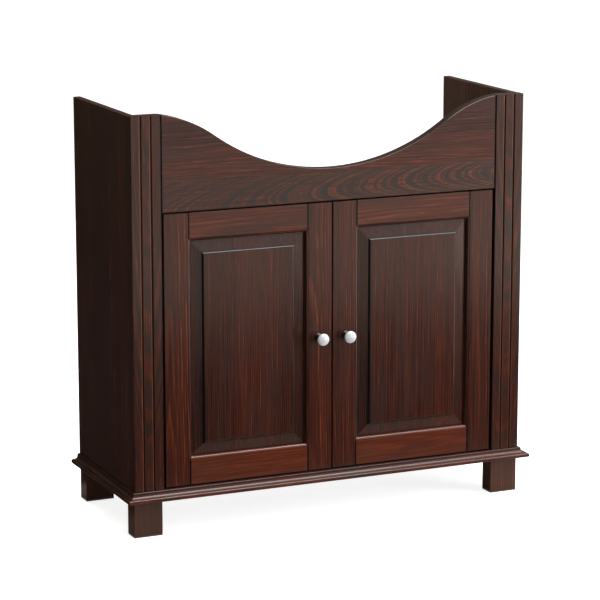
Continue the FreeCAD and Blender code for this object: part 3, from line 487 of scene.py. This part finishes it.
# knobs: a hammered satin face with a painted highlight on its rim, on a polished stem whose near-black
# colour is a painted reflection
knobMetal = {
    "face": (0.84, 0.84, 0.86), "rim": (0.93, 0.93, 0.92), "stem": (0.060, 0.050, 0.049),
    "headStart": 0.0115, "headFade": 0.0005, "rimWidth": 0.0022, "rimFade": 0.0006,
    "headRough": 0.46, "stemRough": 0.30, "frostRough": 0.08, "headMetallic": 0.12,
    "hammer": 420.0, "frost": 900.0,  # scale of the dents and of the frosting
    "hammerShade": (0.30, 0.70, 0.86, 1.0), "frostShade": (0.25, 0.75, 0.94, 1.0),
    "hammerRelief": 2.0, "frostRelief": 0.4, "dentDepth": 0.0003, "strength": 0.3,
}


def knobFinish():
    material, tree, shader = startMaterial("satinKnob")
    spot = Wire(tree, put(tree, "TexCoord").outputs["Object"])
    x, y, z = splitVector(tree, spot)
    low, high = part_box("right_knob")
    sideways = x.maths("ABSOLUTE") - (low[0] + high[0]) / 2
    upward = z - (low[2] + high[2]) / 2
    fromAxis = (sideways * sideways + upward * upward).maths("SQRT")
    faceEdge = (high[2] - low[2]) / 2 - knobMetal["rimWidth"]
    # painted highlight: the face lightens towards its rim
    rim = remap(fromAxis, faceEdge - knobMetal["rimFade"], faceEdge + knobMetal["rimFade"])
    headStart = high[1] - knobMetal["headStart"]
    head = remap(y, headStart + knobMetal["headFade"], headStart - knobMetal["headFade"])
    frost = noise(spot, 3.0, scale=knobMetal["frost"])
    hammered = noise(spot, 1.0, scale=knobMetal["hammer"])
    satin = ramp(rim, [(0.0, knobMetal["face"]), (1.0, knobMetal["rim"])])
    dimmed = remap(hammered, *knobMetal["hammerShade"]) * remap(frost, *knobMetal["frostShade"])
    satin = darken(satin, dimmed)
    # the stem's near-black colour is a painted reflection of the dark door round it
    colour = mixColour(1.0 - head, satin, (*knobMetal["stem"], 1))
    plug(tree, shader.inputs["Base Color"], colour)
    plug(tree, shader.inputs["Metallic"], remap(head, 0.0, 1.0, 1.0, knobMetal["headMetallic"]))
    rough = remap(head, 0.0, 1.0, knobMetal["stemRough"], knobMetal["headRough"])
    plug(tree, shader.inputs["Roughness"], rough + frost * knobMetal["frostRough"])
    dents = hammered * head * knobMetal["hammerRelief"] + frost * knobMetal["frostRelief"]
    relief = {"Strength": knobMetal["strength"], "Distance": knobMetal["dentDepth"], "Height": dents}
    bump = put(tree, "Bump", relief)
    plug(tree, shader.inputs["Normal"], bump.outputs[0])
    return material


# plated and bare metal, clouded by handling
metalFinish = {
    "hingeNickel": {"light": (0.66, 0.64, 0.60), "dark": (0.52, 0.50, 0.47), "rough": (0.20, 0.34)},
    "magnetSteel": {"light": (0.42, 0.42, 0.43), "dark": (0.30, 0.30, 0.31), "rough": (0.32, 0.46)},
}
metalCloud = {"scale": 240.0, "light": 0.30, "dark": 0.72, "roughEdge": (0.3, 0.7)}


def plainMetal(name):
    finish = metalFinish[name]
    material, tree, shader = startMaterial(name, Metallic=1.0)
    spot = Wire(tree, put(tree, "TexCoord").outputs["Object"])
    cloud = noise(spot, 4.0, 0.6, metalCloud["scale"])
    shades = [(metalCloud[shade], finish[shade]) for shade in ("light", "dark")]
    plug(tree, shader.inputs["Base Color"], ramp(cloud, shades))
    plug(tree, shader.inputs["Roughness"], remap(cloud, *metalCloud["roughEdge"], *finish["rough"]))
    return material


# brown plastic of the catch, from a spark-eroded mould
catchBrown = {"shades": ((0.3, (0.082, 0.037, 0.017)), (0.75, (0.062, 0.027, 0.012))),  # light and dark
              "sparkScale": 1400.0, "flowScale": 70.0, "sparkEdge": (0.3, 0.7), "rough": (0.42, 0.56),
              "strength": 0.25, "relief": 0.0001}


def mouldedPlastic():
    material, tree, shader = startMaterial("catchPlastic")
    spot = Wire(tree, put(tree, "TexCoord").outputs["Object"])
    spark = noise(spot, 3.0, 0.6, catchBrown["sparkScale"])
    flow = noise(spot, 3.0, 0.5, catchBrown["flowScale"])
    plug(tree, shader.inputs["Base Color"], ramp(flow, catchBrown["shades"]))
    plug(tree, shader.inputs["Roughness"], remap(spark, *catchBrown["sparkEdge"], *catchBrown["rough"]))
    relief = {"Strength": catchBrown["strength"], "Distance": catchBrown["relief"], "Height": spark}
    bump = put(tree, "Bump", relief)
    plug(tree, shader.inputs["Normal"], bump.outputs[0])
    return material


satinKnob = knobFinish()
nickel = plainMetal("hingeNickel")
nickelWords = ("screw", "hinge_arms", "hinge_plates", "cups", "pins", "strike")
for nodeName in nodes:
    if nodeName.endswith("_knob"):
        dress(nodeName, satinKnob)
    elif any(word in nodeName for word in nickelWords):
        dress(nodeName, nickel)
dress("catch_magnets", plainMetal("magnetSteel"))
dress("catch_block", mouldedPlastic())
print("metal and plastic finished")

# screws with a cross recess and a thread, each in place of its plain solid
screwShape = {"points": 24, "armWidth": 0.15, "armEnd": 0.58, "armSpan": 0.6, "recess": 0.5,
              "recessFloor": 0.75, "recessLip": 0.04, "pitch": 0.0016, "turnSteps": 4, "core": 0.72,
              "crest": 0.97, "tip": 0.0022,
              "headCurve": ((0.0, 0.70), (0.10, 0.90), (0.32, 1.0), (1.0, 1.0))}  # domed top, rim and side
smallScrew = {"head": 0.0018, "shank": 0.0016}  # height of the head, radius of the shank
knobScrew = {"head": 0.0024, "shank": 0.0020}
screwPlan = {
    "hinge_plate_screws": dict(smallScrew, body="cabinet", axis="x"),
    "hinge_arm_screws": dict(smallScrew, body="cabinet", axis="x"),
    "catch_screws": dict(smallScrew, body="cabinet", axis="y"),
    "left_cup_screws": dict(smallScrew, body="left_door", axis="y"),
    "right_cup_screws": dict(smallScrew, body="right_door", axis="y"),
    "left_knob_screw": dict(knobScrew, body="left_door", axis="y"),
    "right_knob_screw": dict(knobScrew, body="right_door", axis="y"),
}


def boxRound(spots):
    return [Vector(pick(values) for values in zip(*spots)) for pick in (min, max)]


# the box round each separate solid of a node
def looseBoxes(nodeName):
    mesh = nodes[nodeName].data
    spots = [tuple(round(value, 6) for value in vertex.co) for vertex in mesh.vertices]
    chief = {spot: spot for spot in spots}

    def chiefOf(spot):
        while chief[spot] != spot:
            spot = chief[spot]
        return spot

    for face in mesh.polygons:
        for corner in face.vertices[1:]:
            chief[chiefOf(spots[corner])] = chiefOf(spots[face.vertices[0]])
    solids = {}
    for spot in chief:
        solids.setdefault(chiefOf(spot), []).append(spot)
    return [boxRound(solid) for solid in solids.values()]


def crossReach(angle):  # how far out the recess goes, as a share of the head
    reach = 0.0
    for quarter in range(4):
        turn = angle - quarter * math.pi / 2
        if math.cos(turn) > screwShape["armSpan"]:
            flank = screwShape["armWidth"] / max(abs(math.sin(turn)), 0.01)
            reach = max(reach, min(screwShape["armEnd"], flank))
    return reach


def threadRadius(shank, drop, angle):
    turn = (drop / screwShape["pitch"] + angle / (2 * math.pi)) % 1.0
    flank = abs(turn * 2 - 1)
    return shank * (screwShape["core"] + (screwShape["crest"] - screwShape["core"]) * flank)


def screwRings(plan, head, length):
    angles = [2 * math.pi * step / screwShape["points"] for step in range(screwShape["points"])]
    thick, shank = plan["head"], plan["shank"]
    cross = [head * crossReach(angle) for angle in angles]
    rings = [
        (thick * screwShape["recess"], [reach * screwShape["recessFloor"] for reach in cross]),
        (thick * screwShape["recessLip"], cross),
    ]
    for drop, share in screwShape["headCurve"]:
        rings.append((thick * drop, [head * share] * len(angles)))
    drop = thick
    while drop < length - screwShape["tip"]:
        rings.append((drop, [threadRadius(shank, drop, angle) for angle in angles]))
        drop += screwShape["pitch"] / screwShape["turnSteps"]
    rings.append((length - screwShape["tip"], [shank * screwShape["core"]] * len(angles)))
    corners = [(radius * math.cos(angle), radius * math.sin(angle), -drop)
               for drop, radii in rings for radius, angle in zip(radii, angles)]
    return corners, len(rings)


def driveScrews(nodeName, plan):
    corners, faces = [], []
    count = screwShape["points"]
    along = axisOrder[plan["axis"]]
    for low, high in looseBoxes(nodeName):
        middle = (low + high) / 2
        out = Vector((0, 1, 0)) if plan["axis"] == "y" else Vector((-math.copysign(1, middle.x), 0, 0))
        length = high[along] - low[along]
        ring, ringCount = screwRings(plan, (high.z - low.z) / 2, length)
        turn = out.to_track_quat("Z", "Y").to_matrix().to_4x4()
        stand = Matrix.Translation(middle + out * length / 2) @ turn
        start = len(corners)
        bottom, tip = start + len(ring), start + len(ring) + 1
        ends = [(0, 0, -plan["head"] * screwShape["recess"]), (0, 0, -length)]
        corners += [stand @ Vector(corner) for corner in ring + ends]
        for step in range(count):
            after = (step + 1) % count
            for row in range(start, start + (ringCount - 1) * count, count):
                faces.append((row + step, row + count + step, row + count + after, row + after))
            last = start + (ringCount - 1) * count
            faces += [(bottom, start + step, start + after), (tip, last + after, last + step)]
    mesh = bpy.data.meshes.new(nodeName + "Driven")
    mesh.from_pydata(corners, [], faces)
    mesh.materials.append(nickel)
    piece = bpy.data.objects.new(nodeName + "Driven", mesh)
    scene.collection.objects.link(piece)
    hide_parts(nodeName)
    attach(piece, plan["body"])


for nodeName, plan in screwPlan.items():
    driveScrews(nodeName, plan)
print("screws driven")

# floor and world, white to the eye
studio = {"floorGlow": 0.84, "floorWhite": 0.90, "bounce": 0.55, "ambient": 0.31, "half": 20.0,
          "drop": -0.0003}


def seenFactor(tree):
    path = [Wire(tree, put(tree, "LightPath").outputs[ray]) for ray in
            ("Is Camera Ray", "Is Glossy Ray", "Is Transmission Ray")]
    return path[0].maths("MAXIMUM", path[1]).maths("MAXIMUM", path[2])


def lyingSheet(left, right, near, far, rise=0.002):
    return [(left, near, rise), (right, near, rise), (right, far, rise), (left, far, rise)]


def standingSheet(left, right, y, bottom, top):
    return [(left, y, bottom), (right, y, bottom), (right, y, top), (left, y, top)]


def standSheet(name, corners):
    mesh = bpy.data.meshes.new(name)
    mesh.from_pydata(corners, [], [(0, 1, 2, 3)])
    sheet = bpy.data.objects.new(name, mesh)
    scene.collection.objects.link(sheet)
    material = bpy.data.materials.new(name + "Paint")
    material.use_nodes = True
    material.node_tree.nodes.clear()
    mesh.materials.append(material)
    return sheet, material.node_tree


def layFloor():
    half = studio["half"]
    tree = standSheet("studioFloor", lyingSheet(-half, half, -half, half, studio["drop"]))[1]
    white, grey = studio["floorWhite"], studio["bounce"]
    lit = put(tree, "BsdfDiffuse", {"Color": (white, white, white, 1)}).outputs[0]
    glow = put(tree, "Emission", {"Color": (1, 1, 1, 1), "Strength": studio["floorGlow"]}).outputs[0]
    bounce = put(tree, "BsdfDiffuse", {"Color": (grey, grey, grey, 1)}).outputs[0]
    bright = put(tree, "AddShader", {0: lit, 1: glow}).outputs[0]
    surface = put(tree, "MixShader", {0: seenFactor(tree), 1: bounce, 2: bright}).outputs[0]
    put(tree, "OutputMaterial", {"Surface": surface})


def paintWorld():
    world = bpy.data.worlds.new("studioWorld")
    scene.world = world
    world.use_nodes = True
    tree = world.node_tree
    tree.nodes.clear()
    soft = put(tree, "Background", {"Color": (1, 1, 1, 1), "Strength": studio["ambient"]}).outputs[0]
    white = put(tree, "Background", {"Color": (1, 1, 1, 1), "Strength": 1.0}).outputs[0]
    surface = put(tree, "MixShader", {0: seenFactor(tree), 1: soft, 2: white}).outputs[0]
    put(tree, "OutputWorld", {"Surface": surface})


# cloth flags, unseen by the camera, are what the dark lacquer reflects
blackCloth = (0.03, 0.03, 0.03)
flagPlan = {
    "leftFlag": {"corners": [(-1.3, -1.8, 0.0), (-1.3, 4.5, 0.0), (-1.3, 4.5, 2.5), (-1.3, -1.8, 2.5)],
                 "cloth": (0.080, 0.076, 0.058), "catchesLight": True},
    "floorFlag": {"corners": [(-1.3, -1.5, 0.002), (1.7, -1.5, 0.002), (0.95, -0.34, 0.002),
                              (-1.3, -0.34, 0.002)], "cloth": blackCloth},
    "nearFlag": {"corners": lyingSheet(-0.36, 0.95, -0.34, 0.2), "cloth": (0.43, 0.38, 0.33)},
    "sideFlag": {"corners": lyingSheet(-1.3, -0.36, -0.34, 4.5), "cloth": blackCloth},
    "rearFlag": {"corners": lyingSheet(-0.36, 1.2, 0.2, 4.5), "cloth": blackCloth},
    "paleFlag": {"corners": lyingSheet(-3.0, 5.0, -4.8, -1.5, 0.001), "cloth": (0.83, 0.74, 0.64)},
    "backFlag": {"corners": standingSheet(-1.3, 3.4, 4.5, 0.0, 5.5), "cloth": (0.10, 0.10, 0.10)},
    "frontFlag": {"corners": standingSheet(-3.0, 5.0, -4.8, 1.6, 6.0), "cloth": (0.05, 0.05, 0.05)},
}


def standFlag(name, plan):
    flag, tree = standSheet(name, plan["corners"])
    cloth = put(tree, "BsdfDiffuse", {"Color": (*plan["cloth"], 1)}).outputs[0]
    put(tree, "OutputMaterial", {"Surface": cloth})
    flag.visible_camera = False
    flag.visible_diffuse = plan.get("catchesLight", False)
    flag.visible_shadow = plan.get("catchesLight", False)


# soft boxes; some are hidden from reflections or from plain light
lampPlan = {
    "keyBox": {"place": (2.3, -1.7, 2.3), "aim": (0.0, 0.0, 0.30), "size": (2.0, 2.0), "power": 57},
    "sideBox": {"place": (2.5, -1.9, 0.75), "aim": (0.0, 0.0, 0.30), "size": (1.0, 1.0), "power": 30},
    "topBox": {"place": (0.7, -0.5, 2.8), "aim": (0.7, -0.45, 0.0), "size": (1.6, 2.6), "power": 56},
    "glintBox": {"place": (0.7, -0.9, 2.75), "aim": (0.7, -0.85, 0.0), "size": (1.6, 2.6), "power": 46,
                 "hides": "diffuse"},
    "fillBox": {"place": (-1.7, -2.6, 0.5), "aim": (0.0, 0.0, 0.30), "size": (1.5, 1.5), "power": 8,
                "hides": "glossy"},
    "backBox": {"place": (-0.95, 2.4, 1.7), "aim": (0.0, 0.0, 0.35), "size": (1.2, 1.2), "power": 24,
                "hides": "glossy"},
}


def hangLamp(name, plan):
    lamp = bpy.data.lights.new(name, "AREA")
    lamp.shape = "RECTANGLE"
    lamp.size, lamp.size_y = plan["size"]
    lamp.energy = plan["power"]
    holder = bpy.data.objects.new(name, lamp)
    holder.location = plan["place"]
    toward = Vector(plan["aim"]) - Vector(plan["place"])
    holder.rotation_euler = toward.to_track_quat("-Z", "Y").to_euler()
    holder.visible_glossy = plan.get("hides") != "glossy"
    holder.visible_diffuse = plan.get("hides") != "diffuse"
    scene.collection.objects.link(holder)


layFloor()
paintWorld()
for name, plan in flagPlan.items():
    standFlag(name, plan)
for name, plan in lampPlan.items():
    hangLamp(name, plan)
print("studio lit")

# the photograph's viewpoint
cameraPlan = {"place": (-1.623, -3.630, 1.158), "turn": -24.04, "tilt": -11.93, "lens": 155.4, "sensor": 36}
camera = bpy.data.cameras.new("photoCamera")
camera.sensor_width = cameraPlan["sensor"]
camera.lens = cameraPlan["lens"]
cameraHolder = bpy.data.objects.new("photoCamera", camera)
cameraHolder.location = cameraPlan["place"]
cameraHolder.rotation_euler = (math.radians(90 + cameraPlan["tilt"]), 0, math.radians(cameraPlan["turn"]))
scene.collection.objects.link(cameraHolder)
scene.camera = cameraHolder
scene.view_settings.view_transform = "Standard"
print("camera set")
